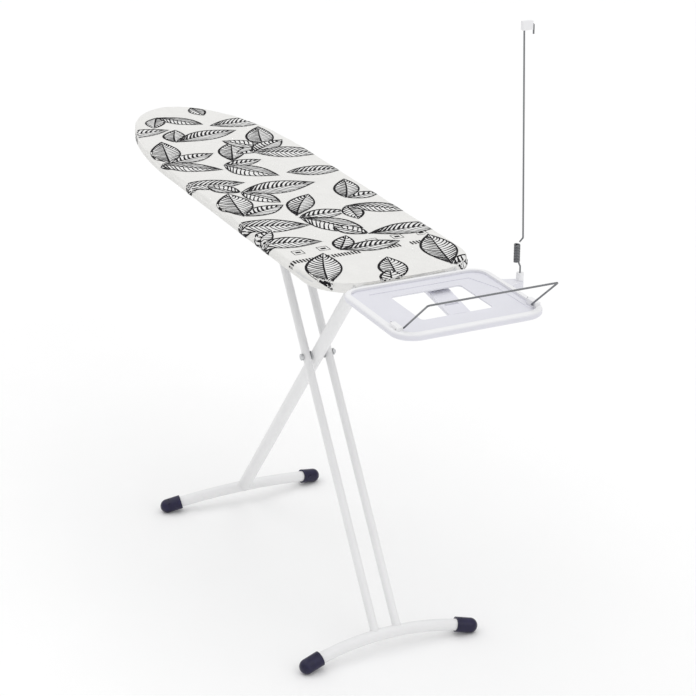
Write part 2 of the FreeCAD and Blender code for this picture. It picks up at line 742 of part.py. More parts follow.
# ---------------------------------------------------------------- slider and height lock
def build_slider():
    """Carriage that runs in the rails and carries the twin tubes, with its lock pawl."""
    x = size("slider_x")
    rear, front = x - size("carriage_length") / 2, x + size("carriage_length") / 2
    tongue = WEB_Y - RAIL_WALL - PAST
    plate = block("CarriagePlate", Vector(rear, -tongue, CARRIAGE_Z), Vector(front, tongue, CARRIAGE_TOP))
    cheek_half, lug = size("carriage_cheek_half"), size("pawl_lug_half")
    pawl_y = size("pawl_width") / 2 + size("side_gap")
    lug_y = pawl_y + size("cheek_wall")
    pawl_pin = Vector(x + size("pawl_pin_ahead"), 0, CARRIAGE_Z - size("pawl_pin_drop"))
    cheeks = []
    for name, side in SIDES.items():
        low_y, high_y = mirrored_y(side, CHEEK_Y, BRACKET_Y)
        cheeks.append(block("CarriageCheek_" + name,
                            Vector(x - cheek_half, low_y, AXLE_Z - size("carriage_cheek_drop")),
                            Vector(x + cheek_half, high_y, CARRIAGE_Z + PAST)))
        low_y, high_y = mirrored_y(side, pawl_y, lug_y)
        cheeks.append(block("PawlLug_" + name, Vector(pawl_pin.x - lug, low_y, pawl_pin.z - lug),
                            Vector(pawl_pin.x + lug, high_y, CARRIAGE_Z + PAST)))

    rise, over = size("fold_rise"), CARRIAGE_TOP + PAST
    rack_floor = PLATE_BOTTOM - size("rack_depth") - rise
    strip_floor = STRIP_TOP - size("strip_wall") - rise
    rack_half = size("rack_half_width") + size("rack_clearance")
    strip_half = size("strip_width") / 2 + size("strip_clearance")
    grooves = [block("RackGroove", Vector(rear - PAST, -rack_half, rack_floor),
                     Vector(front + PAST, rack_half, over)),
               block("StripGroove", Vector(rear - PAST, size("strip_y") - strip_half, strip_floor),
                     Vector(front + PAST, size("strip_y") + strip_half, over)),
               block("PawlWindow",
                     Vector(x - size("pawl_tip") - size("pawl_clearance"), -pawl_y, CARRIAGE_Z - PAST),
                     Vector(pawl_pin.x + lug + size("pawl_clearance"), pawl_y, over))]
    bores = [across_rod("CarriageBore", "{slider_pin} / 2 + {running_gap}", front_head, -RAIL_Y, RAIL_Y),
             across_rod("PawlBore", "{pawl_pin} / 2", pawl_pin, -lug_y - PAST, lug_y + PAST)]
    finished(cut("Carriage", joined("CarriageBlank", plate, *cheeks), *grooves, *bores), "slider_carriage")
    finished(across_rod("PawlPin", "{pawl_pin} / 2", pawl_pin, -lug_y - PAST, lug_y + PAST), "pawl_pin")

    boss, tip, top = size("pawl_boss"), x - size("pawl_tip"), rack_floor - size("side_gap")
    arm = chain([(pawl_pin.x + boss, pawl_pin.z - boss), (pawl_pin.x + boss, pawl_pin.z + boss),
                 (tip + boss + 2 * PAST, pawl_pin.z + boss - PAST / 2), (tip + boss + PAST, top),
                 (tip, top), (tip, pawl_pin.z - boss / 2), (x, pawl_pin.z - boss)])
    pawl = doc.addObject("PartDesign::Body", "PawlBody")
    pad(pawl, "PawlPad", arm, 0, "{pawl_width}", "XZ_Plane", both=True)
    bore = across_rod("PawlBoreInner", "{pawl_pin} / 2 + {running_gap}", pawl_pin, -pawl_y, pawl_y)
    finished(cut("Pawl", pawl, bore), "lock_pawl")


def build_release_strip():
    """Flat strip along the rack that frees the pawl, and the staples that hold it up."""
    y, half, wall = size("strip_y"), size("strip_width") / 2, size("strip_wall")
    rear = FOLDED_X - size("carriage_length") / 2
    front = BOARD_END + size("handle_gap") + size("strip_grip")
    strip = block("Strip", Vector(rear, y - half, STRIP_TOP - wall), Vector(front, y + half, STRIP_TOP))
    play, rim, length = size("side_gap"), size("staple_wall"), size("staple_length")
    staples = []
    for number in range(3):
        x = size("staple_first_x") + number * size("staple_pitch")
        outer = block("StapleOuter%d" % number,
                      Vector(x, y - half - play - rim, STRIP_TOP - wall - play - rim),
                      Vector(x + length, y + half + play + rim, PLATE_BOTTOM))
        inner = block("StapleInner%d" % number, Vector(x - PAST, y - half - play, STRIP_TOP - wall - play),
                      Vector(x + length + PAST, y + half + play, STRIP_TOP + play))
        staples.append(cut("Staple%d" % number, outer, inner))
    finished(group("StripStaples", staples), "strip_staples")
    finished(strip, "release_strip")


def build_release_handle():
    """Cranked plate handle under the tray's opening, reached from above or below."""
    start, end = BOARD_END + size("handle_gap"), BOARD_END + size("handle_reach")
    width, thick, drop = size("handle_width"), size("handle_wall"), size("handle_drop")
    low_y = size("strip_y") - size("handle_offset")
    high_y = low_y + width
    top = STRIP_TOP - size("strip_wall")
    neck, pull = start + size("handle_neck"), end - size("handle_pull")
    side = chain([(start, top - thick), (neck, top - thick), (pull, top - drop + thick / 2),
                  (end, top - drop), (end, top - drop + thick), (pull, top - drop + 1.5 * thick),
                  (neck + 2 * thick, top), (start, top)])
    grip = doc.addObject("PartDesign::Body", "Grip")
    pad(grip, "GripPad", side, -high_y, "{handle_width}", "XZ_Plane")
    clear, edge, slot = size("handle_relief"), size("handle_slot_edge"), size("handle_slot")
    deep = top - drop - PAST
    relief = block("GripRelief", Vector(start - PAST, RAIL_Y - clear, deep),
                   Vector(RAIL_END + clear, high_y + PAST, top + PAST))
    slots = []
    for number in (1, 2):
        x = end - number * size("handle_slot_pitch")
        slots.append(block("GripSlot%d" % number, Vector(x, low_y + edge, deep),
                           Vector(x + slot, high_y - edge, top + PAST)))
    finished(cut("Handle", grip, relief, *slots), "release_handle")


# ---------------------------------------------------------------- iron tray
def build_tray():
    """Moulded tray with rim, stepped floor and opening.

    Returns the tray before its holes and the level of the floor inside its rim.
    """
    start, end, half = TRAY_START, TRAY_END, TRAY_Y
    rim, wall = size("rim_width"), size("tray_wall")
    panel_top = PLATE_BOTTOM + size("tray_panel")
    floor = panel_top + size("step_depth")
    low_corner, high_corner = size("tray_inner_corner"), size("tray_outer_corner")

    body = doc.addObject("PartDesign::Body", "TrayBody")
    pad(body, "TrayBlock", rounded_rectangle(start, end, half, low_corner, high_corner), RIM_BOTTOM,
        "{tray_rim}")
    soften(body, "TrayEdges", (RIM_BOTTOM, TOP), "{tray_round}")
    well = rounded_rectangle(start + rim, end - rim, half - rim, low_corner - rim, high_corner - rim)
    pocket(body, "TrayWell", well, TOP + PAST, "%f" % (TOP + PAST - floor))
    far, chamfer = end - size("step_setback"), size("step_chamfer")
    wide = HANGER_Y - PAST
    slant = [(start + 3 * rim, wide - 1.5 * chamfer), (start + 9 * rim, wide - PAST),
             (far - chamfer, wide), (far, wide - chamfer)]
    step = chain(slant + [(x, -y) for x, y in reversed(slant)])
    pocket(body, "TrayStep", step, TOP, "%f" % (TOP - panel_top))
    under = rounded_rectangle(start + wall, end - wall, half - wall, low_corner - wall, high_corner - wall)
    up_to_plate = "%f" % (PLATE_BOTTOM - RIM_BOTTOM + PAST)
    pocket(body, "TrayUnder", under, RIM_BOTTOM - PAST, up_to_plate, True)
    open_x, corner = start + size("opening_inset"), size("opening_corner")
    opening = rounded_rectangle(open_x, open_x + size("opening_length"), size("opening_half_width"),
                                corner, corner)
    pocket(body, "TrayOpening", opening, TOP, "%f" % (TOP - RIM_BOTTOM + PAST))
    inside = start + rim + wall
    gate = chain([(start - PAST, -GATE_Y), (inside, -GATE_Y), (inside, GATE_Y), (start - PAST, GATE_Y)])
    pocket(body, "TrayGate", gate, RIM_BOTTOM - PAST, up_to_plate, True)
    return body, floor


def build_tray_arms():
    """Two tubes that carry the tray from under the board, with their screws.

    Returns the screw holes, which go on into the shell and the tray, and the room that pieces
    beside the tubes leave for them.
    """
    radius = size("tray_tube") / 2
    start = TRAY_START - size("arm_overlap")
    length = TRAY_END - size("arm_inset") - start
    tubes, seats = {}, []
    for name, side in SIDES.items():
        place = along(Vector(1, 0, 0), Vector(start, side * size("tray_tube_y"), PLATE_BOTTOM - radius))
        tubes[name] = tube("TrayArm_" + name, "{tray_tube} / 2", "{tube_wall}", length, place)
        seats.append(rod("ArmSeat_" + name, "{tray_tube} / 2 + {side_gap}", length, place))
    screw_x = [TRAY_START - size("arm_screw_inset")]
    screw_x += [TRAY_START + size("arm_screw_start") + number * size("arm_screw_pitch")
                for number in range(3)]
    spots = [Placement(Vector(x, side * size("tray_tube_y"), PLATE_BOTTOM - 2 * radius), Rotation())
             for side in SIDES.values() for x in screw_x]
    screws, holes = screws_and_holes("Tray", spots, size("tray_tube") + size("screw_bite"))
    for name, item in tubes.items():
        finished(cut("TrayTube_" + name, item, *holes), "tray_arm_" + name)
    finished(screws, "tray_screws")
    return holes, seats


def build_hanger(floor):
    """Wire rail that swings on two clips, with the short wires that it leans on.

    Returns the clips' outer blocks, which the tray's rim is cut back for.
    """
    x, z = TRAY_END - size("hanger_setback"), TOP + size("hanger_rise")
    tilt = math.radians(size("hanger_tilt"))
    reach, bend = size("hanger_reach"), size("hanger_bend")
    far_x, far_z = x + reach * math.cos(tilt), z + reach * math.sin(tilt)
    tail = HANGER_Y + size("hanger_tail")
    points = [(x, -tail, z), (x, -HANGER_Y, z), (far_x, -HANGER_Y, far_z),
              (far_x, HANGER_Y, far_z), (x, HANGER_Y, z), (x, tail, z)]
    finished(wire_rod("HangerWire", points, bend, size("hanger_wire") / 2), "hanging_rail")
    inner = HANGER_Y + bend + size("side_gap")
    width = size("clip_width")
    stops, seats = [], []
    for name, side in SIDES.items():
        low_y, high_y = mirrored_y(side, inner, inner + width)
        base = block("ClipBase_" + name, Vector(x - size("clip_rear"), low_y, floor),
                     Vector(x + size("clip_front"), high_y, z + size("clip_rise")))
        bore = across_rod("ClipBore_" + name, "{hanger_wire} / 2 + {running_gap}", Vector(x, 0, z),
                          low_y - PAST, high_y + PAST)
        stop_start = Vector(x - size("clip_rear") - size("stop_wire_reach"), side * (inner + width / 2),
                            z + size("stop_wire_rise"))
        stop = rod("Stop_wire_" + name, "{hanger_wire} / 2", "{stop_wire_length}",
                   along(Vector(1, 0, 0), stop_start))
        finished(cut("Clip_" + name, base, bore, stop), "hinge_clip_" + name)
        stops.append(stop)
        seats.append(base)
    finished(group("StopWires", stops), "rail_stop_wires")
    return seats


# ---------------------------------------------------------------- cord guide
GUIDE_X = TRAY_START + size("guide_inset")
GUIDE_Y = TRAY_Y + size("guide_offset")
GUIDE_LOW = RIM_BOTTOM - size("guide_foot_depth")
SOCKET_FLOOR = TOP - size("socket_drop") + size("socket_floor")
SOCKET_TOP = TOP - size("socket_drop") + size("socket_height")


def build_guide_bracket(arm_seats):
    """Bracket screwed under the tray's rim, with the socket that the wire turns in.

    Returns the screw holes, which go on into the tray.
    """
    x, half, edge = GUIDE_X, size("guide_foot_half"), TRAY_Y + SOFT
    radius, wedge_half = size("socket_radius"), size("guide_wedge_half")
    foot = block("GuideFoot", Vector(x - half, TRAY_Y - size("guide_foot_width"), GUIDE_LOW),
                 Vector(x + half, edge + PAST, RIM_BOTTOM))
    wedge = doc.addObject("PartDesign::Body", "GuideWedge")
    plan = chain([(x - wedge_half, edge), (x + wedge_half, edge),
                  (x + radius, GUIDE_Y + radius / 2), (x - radius, GUIDE_Y + radius / 2)])
    pad(wedge, "GuideWedgePad", plan, GUIDE_LOW, "%f" % (TOP - size("guide_wedge_drop") - GUIDE_LOW))
    post = rod("GuidePost", "{socket_radius}", SOCKET_TOP - GUIDE_LOW,
               Placement(Vector(x, GUIDE_Y, GUIDE_LOW), Rotation()))
    bore = rod("GuideBore", "{guide_wire} / 2 + {running_gap}", SOCKET_TOP - SOCKET_FLOOR,
               Placement(Vector(x, GUIDE_Y, SOCKET_FLOOR), Rotation()))
    screw_y = TRAY_Y - size("rim_width") / 2
    spots = [Placement(Vector(x + side * size("guide_screw_half"), screw_y, GUIDE_LOW), Rotation())
             for side in SIDES.values()]
    screws, holes = screws_and_holes("Guide", spots, size("guide_foot_depth") + 3 * size("screw_bite"))
    blank = joined("GuideBlank", foot, wedge, post)
    finished(cut("GuideBracket", blank, bore, *holes, *arm_seats), "guide_bracket")
    finished(screws, "guide_screws")
    return holes


def build_guide_wire():
    """Wire that turns in the socket, its spring coil, the long rod with its hook, and the clip."""
    x, wire, bend = GUIDE_X, size("guide_wire") / 2, size("guide_bend")
    coil_y = GUIDE_Y - size("guide_coil_offset")
    coil_low = SOCKET_TOP + size("guide_coil_lift")
    coil_top = coil_low + size("guide_coil_height")
    wound = coil_y + size("guide_coil_radius") - wire
    jog = size("guide_jog")
    stub = wire_rod("GuideStub", [(x, GUIDE_Y, SOCKET_FLOOR + PAST), (x, GUIDE_Y, coil_low - jog),
                                  (x, wound, coil_low)], bend, wire)
    finished(stub, "guide_stub")
    place = Placement(Vector(x, coil_y, coil_low), Rotation())
    skin = rod("CoilSkin", "{guide_coil_radius}", "{guide_coil_height}", place)
    inside = rod("CoilInside", "{guide_coil_radius} - {guide_wire}", "{guide_coil_height}", place)
    finished(cut("GuideCoil", skin, inside, stub), "guide_spring")

    top, lean_y = TOP + size("guide_rise"), GUIDE_Y - size("guide_lean")
    hook_y = lean_y + size("hook_span")
    start_z = coil_top + size("coil_gap")
    points = [(x, wound, start_z), (x, GUIDE_Y + jog / 2, start_z + jog - PAST), (x, lean_y, top),
              (x, hook_y, top + PAST / 2), (x, hook_y, top - size("hook_drop"))]
    finished(wire_rod("GuideRod", points, bend, wire), "guide_rod")
    half = size("guide_clip_half")
    clip = block("ClipBlank", Vector(x - half, lean_y - half, top - size("guide_clip_low")),
                 Vector(x + half, hook_y - half + PAST, top + size("guide_clip_high")))
    tool = wire_rod("ClipTool", points[1:4] + [(x, hook_y, top - size("hook_drop") + PAST)], bend, wire)
    finished(cut("GuideClip", clip, tool), "guide_clip")


# ---------------------------------------------------------------- assembly
board_shell = build_board()
rail_holes = build_rails()
build_rail_fittings()
build_leg_bracket()
build_rear_leg()
build_front_leg()
build_slider()
build_release_strip()
build_release_handle()
tray_body, tray_floor = build_tray()
arm_holes, arm_seats = build_tray_arms()
clip_seats = build_hanger(tray_floor)
guide_holes = build_guide_bracket(arm_seats)
build_guide_wire()
finished(cut("ShellCut", board_shell, *rail_holes, *arm_holes), "board_shell")
finished(cut("Tray", tray_body, *arm_holes, *guide_holes, *clip_seats), "iron_tray")

doc.recompute()
faults = [item.Name for item in doc.Objects if "Invalid" in item.State or "Error" in item.State]
faults += [item.Label for item in NODES if item.Shape.isNull() or not item.Shape.isValid()]
if faults:
    raise RuntimeError("failed objects: " + ", ".join(faults))

os.makedirs("parts", exist_ok=True)
whole = FreeCAD.BoundBox()
for item in NODES:
    whole.add(item.Shape.BoundBox)
    item.Shape.exportStep("parts/%s.step" % item.Label)
print("nodes", len(NODES))
print("box", whole)
print("scissor axis", scissor, "folded carriage", FOLDED_X)
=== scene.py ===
"""Looks for the folding ironing board: printed cotton cover, painted steel legs, moulded tray.

Units are metres, in the part's own frame: +X towards the iron tray, +Z up, floor at Z = 0.
"""
import json
import math
import random

import bmesh
import bpy
import numpy as np
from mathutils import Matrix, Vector, noise
from mathutils.bvhtree import BVHTree


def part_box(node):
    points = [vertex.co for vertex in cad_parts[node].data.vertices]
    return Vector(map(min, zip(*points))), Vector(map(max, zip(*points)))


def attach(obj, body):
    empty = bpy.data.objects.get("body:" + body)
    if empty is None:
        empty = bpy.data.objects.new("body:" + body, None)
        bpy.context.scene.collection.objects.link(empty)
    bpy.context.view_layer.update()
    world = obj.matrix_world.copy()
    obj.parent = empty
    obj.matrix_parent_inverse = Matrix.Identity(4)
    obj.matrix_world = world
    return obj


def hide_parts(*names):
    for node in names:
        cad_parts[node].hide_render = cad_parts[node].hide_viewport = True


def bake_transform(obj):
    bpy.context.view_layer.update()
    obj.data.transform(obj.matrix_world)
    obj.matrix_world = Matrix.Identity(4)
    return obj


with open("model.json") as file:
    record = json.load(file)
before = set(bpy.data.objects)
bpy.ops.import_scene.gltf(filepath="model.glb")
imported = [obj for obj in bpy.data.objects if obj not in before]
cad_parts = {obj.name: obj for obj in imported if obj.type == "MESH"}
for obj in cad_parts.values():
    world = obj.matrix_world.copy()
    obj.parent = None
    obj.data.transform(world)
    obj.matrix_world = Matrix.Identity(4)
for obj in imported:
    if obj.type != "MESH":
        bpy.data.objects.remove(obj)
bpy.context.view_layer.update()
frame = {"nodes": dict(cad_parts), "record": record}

MM = 0.001
COVER_LOW, COVER_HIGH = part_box("board_cover")
PAD_LOW, PAD_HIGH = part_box("board_pad")
TRAY_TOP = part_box("iron_tray")[1].z
TOP = COVER_HIGH.z
NOSE_X, END_X, HALF = COVER_LOW.x, COVER_HIGH.x, COVER_HIGH.y
NOSE_LENGTH = 510 * MM
CORNER = 120 * MM
EDGE_DEPTH = COVER_HIGH.z - COVER_LOW.z
TOP_ROLL = 9 * MM
LOW_ROLL = 8 * MM
CLOTH_RETURN = 36 * MM
GATE_HALF = 124 * MM
GATE_Z = 941.5 * MM
OUTLINE_STEPS = 460
FLAT_RINGS = 26
PRINT_SEED = 7
SETTLE_CAP = 4 * MM
CLOTH_FRAMES = 18
TWIN_TUBE_Y = 28.1


# ---------------------------------------------------------------- materials
def material(name, colour, roughness, metallic=0.0, **sockets):
    """Principled material with plain values, which the helpers below vary."""
    made = bpy.data.materials.new(name)
    made.use_nodes = True
    shader = made.node_tree.nodes["Principled BSDF"]
    shader.inputs["Metallic"].default_value = metallic
    shader.inputs["Base Color"].default_value = (*colour, 1)
    shader.inputs["Roughness"].default_value = roughness
    for socket, value in sockets.items():
        shader.inputs[socket.replace("_", " ")].default_value = value
    return made


def node(made, kind, **values):
    """Adds a node and sets its properties and sockets."""
    item = made.node_tree.nodes.new(kind)
    for name, value in values.items():
        socket = name.replace("_", " ")
        if socket in item.inputs:
            item.inputs[socket].default_value = value
        else:
            setattr(item, name, value)
    return item


def link(made, source, output, target, socket):
    made.node_tree.links.new(source.outputs[output], target.inputs[socket])


def object_space(made):
    return node(made, "ShaderNodeTexCoord")


def mottle(made, colour, amount, scale, roughness=None, spread=0.0):
    """Varies colour, and roughness if given, with noise at a scale per metre."""
    shader = made.node_tree.nodes["Principled BSDF"]
    space = object_space(made)
    cloud = node(made, "ShaderNodeTexNoise", Scale=scale, Detail=4.0)
    link(made, space, "Object", cloud, "Vector")
    ramp = node(made, "ShaderNodeValToRGB")
    ramp.color_ramp.elements[0].position = 0.3
    ramp.color_ramp.elements[1].position = 0.7
    ramp.color_ramp.elements[0].color = (*[c * (1 - amount) for c in colour], 1)
    ramp.color_ramp.elements[1].color = (*[min(1, c * (1 + amount)) for c in colour], 1)
    link(made, cloud, "Fac", ramp, "Fac")
    link(made, ramp, "Color", shader, "Base Color")
    if roughness is not None:
        spread_node = node(made, "ShaderNodeMapRange", To_Min=roughness - spread, To_Max=roughness + spread)
        link(made, cloud, "Fac", spread_node, "Value")
        link(made, spread_node, "Result", shader, "Roughness")
    return cloud


def grain(made, scale, strength, distance, detail=2.0):
    """Fine surface bump from noise."""
    shader = made.node_tree.nodes["Principled BSDF"]
    space = object_space(made)
    speck = node(made, "ShaderNodeTexNoise", Scale=scale, Detail=detail)
    bump = node(made, "ShaderNodeBump", Strength=strength, Distance=distance)
    link(made, space, "Object", speck, "Vector")
    link(made, speck, "Fac", bump, "Height")
    link(made, bump, "Normal", shader, "Normal")


def weave(made, thread, strength):
    """Plain weave bump from two crossed wave textures, thread pitch in metres."""
    shader = made.node_tree.nodes["Principled BSDF"]
    space = object_space(made)
    waves = []
    for direction in ("X", "Y"):
        wave = node(made, "ShaderNodeTexWave", Scale=0.314 / thread, Distortion=1.2, Detail=1.0)
        wave.bands_direction = direction
        link(made, space, "Object", wave, "Vector")
        waves.append(wave)
    cross = node(made, "ShaderNodeMath", operation="MULTIPLY")
    link(made, waves[0], "Fac", cross, 0)
    link(made, waves[1], "Fac", cross, 1)
    slub = node(made, "ShaderNodeTexNoise", Scale=60.0, Detail=3.0)
    link(made, space, "Object", slub, "Vector")
    total = node(made, "ShaderNodeMath", operation="ADD")
    link(made, cross, "Value", total, 0)
    link(made, slub, "Fac", total, 1)
    bump = node(made, "ShaderNodeBump", Strength=strength, Distance=thread * 0.5)
    link(made, total, "Value", bump, "Height")
    link(made, bump, "Normal", shader, "Normal")


def painted_steel():
    made = material("white_powder_coat", (0.84, 0.84, 0.845), 0.34, Coat_Weight=0.25, Coat_Roughness=0.2)
    mottle(made, (0.84, 0.84, 0.845), 0.025, 9.0, 0.34, 0.06)
    grain(made, 700.0, 0.10, 0.0003)
    return made


def tray_plastic():
    """Moulded plastic, cool grey in the sunken well, with a painted highlight that turns the raised rim near
    white.
    """
    well = (0.745, 0.745, 0.80)
    made = material("white_moulded_plastic", well, 0.40, Specular_IOR_Level=0.45)
    mottle(made, well, 0.015, 14.0, 0.40, 0.05)
    grain(made, 2600.0, 0.12, 0.0002)
    shader = made.node_tree.nodes["Principled BSDF"]
    mottled = shader.inputs["Base Color"].links[0].from_node
    # Painted highlight: from about 6 mm below the tray's top up to its rim the colour blends to near white,
    # whatever light falls there.
    place = node(made, "ShaderNodeNewGeometry")
    height = node(made, "ShaderNodeSeparateXYZ")
    link(made, place, "Position", height, "Vector")
    share = node(made, "ShaderNodeMapRange", From_Min=TRAY_TOP - 6 * MM, From_Max=TRAY_TOP - 1.5 * MM)
    link(made, height, "Z", share, "Value")
    rim_highlight_mix = node(made, "ShaderNodeMix", data_type="RGBA")
    colours = {socket.name: socket for socket in rim_highlight_mix.inputs if socket.type == "RGBA"}
    colours["B"].default_value = (0.86, 0.86, 0.875, 1)
    made.node_tree.links.new(mottled.outputs["Color"], colours["A"])
    link(made, share, "Result", rim_highlight_mix, "Factor")
    result = [socket for socket in rim_highlight_mix.outputs if socket.type == "RGBA"][0]
    made.node_tree.links.new(result, shader.inputs["Base Color"])
    return made


def shell_plastic():
    made = material("board_shell_plastic", (0.70, 0.705, 0.71), 0.55)
    mottle(made, (0.70, 0.705, 0.71), 0.05, 22.0, 0.55, 0.08)
    grain(made, 900.0, 0.25, 0.0004)
    return made


def grey_plastic():
    made = material("light_grey_plastic", (0.56, 0.57, 0.58), 0.45)
    mottle(made, (0.56, 0.57, 0.58), 0.04, 40.0, 0.45, 0.06)
    grain(made, 1800.0, 0.15, 0.0002)
    return made


def navy_plastic():
    made = material("navy_cap_plastic", (0.012, 0.010, 0.040), 0.30, Specular_IOR_Level=0.35)
    mottle(made, (0.012, 0.010, 0.040), 0.25, 60.0, 0.30, 0.07)
    grain(made, 1500.0, 0.18, 0.0003)
    return made


def zinc_steel():
    made = material("zinc_plated_steel", (0.55, 0.56, 0.57), 0.36, metallic=1.0)
    mottle(made, (0.55, 0.56, 0.57), 0.10, 120.0, 0.36, 0.08)
    grain(made, 2200.0, 0.10, 0.0001)
    return made


def chrome_wire():
    # Painted reflection: the base colour is set much darker than bright chrome so the wire shows the dark
    # surroundings it would mirror; the metal itself is brighter.
    made = material("chrome_wire", (0.20, 0.205, 0.215), 0.22, metallic=1.0)
    mottle(made, (0.20, 0.205, 0.215), 0.06, 35.0, 0.22, 0.05)
    return made


def printed_cotton(name, colour, strength=0.35, sheen=0.25):
    made = material(name, colour, 0.88, Sheen_Weight=sheen, Sheen_Roughness=0.5, Specular_IOR_Level=0.15)
    mottle(made, colour, 0.018, 26.0, 0.88, 0.05)
    weave(made, 0.7 * MM, strength)
    return made


def foam():
    made = material("pad_foam", (0.80, 0.79, 0.75), 0.95)
    mottle(made, (0.80, 0.79, 0.75), 0.06, 45.0)
    grain(made, 1400.0, 0.6, 0.0006)
    return made


SLOT_LOOKS = {
    "white_steel": painted_steel(),
    "white_plastic": tray_plastic(),
    "board_plastic": shell_plastic(),
    "grey_plastic": grey_plastic(),
    "navy_plastic": navy_plastic(),
    "zinc_steel": zinc_steel(),
    "chrome_wire": chrome_wire(),
    "pad_foam": foam(),
    "cover_cloth": printed_cotton("cover_cotton", (0.83, 0.825, 0.805)),
}


def dress_frame():
    """Gives each CAD node the look of its record slot."""
    slots = {part["node"]: part["material_slot"] for part in frame["record"]["subparts"]}
    for name, item in frame["nodes"].items():
        look = SLOT_LOOKS[slots[name]]
        if not item.material_slots:
            item.data.materials.append(look)
        for place in item.material_slots:
            place.material = look


# ---------------------------------------------------------------- board outline
def outline(inset, count):
    """Even points round the board's plan, from the nose tip, with outward normals."""
    nose = NOSE_X + NOSE_LENGTH
    half, end, corner = HALF - inset, END_X - inset, CORNER - inset
    turn = np.linspace(math.pi, 1.5 * math.pi, 700)
    nose_arc = np.stack([nose + (NOSE_LENGTH - inset) * np.cos(turn), half * np.sin(turn)], 1)
    turn = np.linspace(1.5 * math.pi, 2 * math.pi, 300)
    end_arc = np.stack([end - corner + corner * np.cos(turn), -(half - corner) + corner * np.sin(turn)], 1)
    lower = np.concatenate([nose_arc, end_arc, [[end, 0]]])
    upper = lower[-2:0:-1] * [1, -1]
    loop = np.concatenate([lower, upper, lower[:1]])
    run = np.concatenate([[0], np.cumsum(np.linalg.norm(np.diff(loop, axis=0), axis=1))])
    places = np.linspace(0, run[-1], count, endpoint=False)
    points = np.stack([np.interp(places, run, loop[:, axis]) for axis in (0, 1)], 1)
    ahead = np.roll(points, -1, 0) - np.roll(points, 1, 0)
    ahead /= np.linalg.norm(ahead, axis=1)[:, None]
    return points, np.stack([ahead[:, 1], -ahead[:, 0]], 1)


TOP_ARC = TOP_ROLL * math.pi / 2
SIDE = EDGE_DEPTH - TOP_ROLL - LOW_ROLL
LOW_ARC = LOW_ROLL * math.pi / 2
WRAP = TOP_ARC + SIDE + LOW_ARC + CLOTH_RETURN - LOW_ROLL


def edge_profile(distance):
    """Outward offset and drop of the cloth at a distance past the flat top's boundary."""
    if distance <= TOP_ARC:
        turn = distance / TOP_ROLL
        return TOP_ROLL * math.sin(turn), TOP_ROLL * (1 - math.cos(turn))
    if distance <= TOP_ARC + SIDE:
        return TOP_ROLL, TOP_ROLL + distance - TOP_ARC
    distance -= TOP_ARC + SIDE
    if distance <= LOW_ARC:
        turn = distance / LOW_ROLL
        return TOP_ROLL - LOW_ROLL * (1 - math.cos(turn)), EDGE_DEPTH - LOW_ROLL + LOW_ROLL * math.sin(turn)
    return TOP_ROLL - LOW_ROLL - (distance - LOW_ARC), EDGE_DEPTH


def cloth_point(edge_point, normal, distance, along):
    """Place of the cloth past the flat boundary, gathered where it is drawn in underneath."""
    out, drop = edge_profile(distance)
    under = max(0.0, min(1.0, (distance - TOP_ARC - SIDE * 0.6) / (WRAP - TOP_ARC - SIDE * 0.6)))
    tight = 1.0 if edge_point[0] < NOSE_X + NOSE_LENGTH or edge_point[0] > END_X - CORNER else 0.45
    gather = math.sin(along * 420) + 0.6 * math.sin(along * 611 + 1.3)
    drop += under * tight * 0.55 * MM * gather
    out += under * tight * 0.8 * MM * math.sin(along * 420 + 0.9)
    x, y = edge_point[0] + normal[0] * out, edge_point[1] + normal[1] * out
    z = TOP - drop
    if x > END_X - 60 * MM and abs(y) < GATE_HALF:
        z = max(z, GATE_Z)
    return x, y, z


def mesh_object(name, points, faces, look, smooth=True):
    mesh = bpy.data.meshes.new(name)
    mesh.from_pydata([tuple(p) for p in points], [], faces)
    mesh.update()
    for polygon in mesh.polygons:
        polygon.use_smooth = smooth
    item = bpy.data.objects.new(name, mesh)
    bpy.context.scene.collection.objects.link(item)
    mesh.materials.append(look)
    return item


def ring_faces(rows, count):
    """Quads between successive closed rows of points."""
    faces = []
    for row in range(rows - 1):
        for column in range(count):
            after = (column + 1) % count
            faces.append((row * count + column, row * count + after,
                          (row + 1) * count + after, (row + 1) * count + column))
    return faces


def covered_form(name, inset, top, roll, distances, place, look):
    """Flat top of rings round the board's middle line, then an edge placed by a function."""
    boundary, normals = outline(inset + roll, OUTLINE_STEPS)
    spine = np.clip(boundary[:, 0], NOSE_X + 150 * MM, END_X - CORNER)
    middle = np.stack([spine, np.zeros(OUTLINE_STEPS)], 1)
    points = []
    for ring in range(FLAT_RINGS + 1):
        share = ring / FLAT_RINGS
        for centre, edge in zip(middle, boundary):
            x, y = centre + (edge - centre) * share
            points.append((x, y, top))
    step = np.linalg.norm(boundary - np.roll(boundary, 1, 0), axis=1)
    run = np.cumsum(step)
    for distance in distances:
        for edge, normal, along in zip(boundary, normals, run):
            points.append(place(edge, normal, distance, along))
    rows = FLAT_RINGS + 1 + len(distances)
    item = mesh_object(name, points, ring_faces(rows, OUTLINE_STEPS), look)
    tidy(item)
    return item


def tidy(item):
    """Welds doubled points and turns the faces outwards."""
    shape = bmesh.new()
    shape.from_mesh(item.data)
    bmesh.ops.remove_doubles(shape, verts=shape.verts, dist=0.2 * MM)
    bmesh.ops.recalc_face_normals(shape, faces=shape.faces)
    shape.to_mesh(item.data)
    shape.free()


def drop_loose(item):
    """Removes points that no face uses, and turns the faces of an open sheet upwards and outwards."""
    shape = bmesh.new()
    shape.from_mesh(item.data)
    bmesh.ops.delete(shape, geom=[v for v in shape.verts if not v.link_faces], context="VERTS")
    for face in shape.faces:
        centre = face.calc_center_median()
        outward = Vector((centre.x * 0.05, centre.y * 0.4, 1.0 if centre.z > TOP - 6 * MM else 0.0))
        if face.normal.dot(outward) < 0:
            face.normal_flip()
    shape.to_mesh(item.data)
    shape.free()


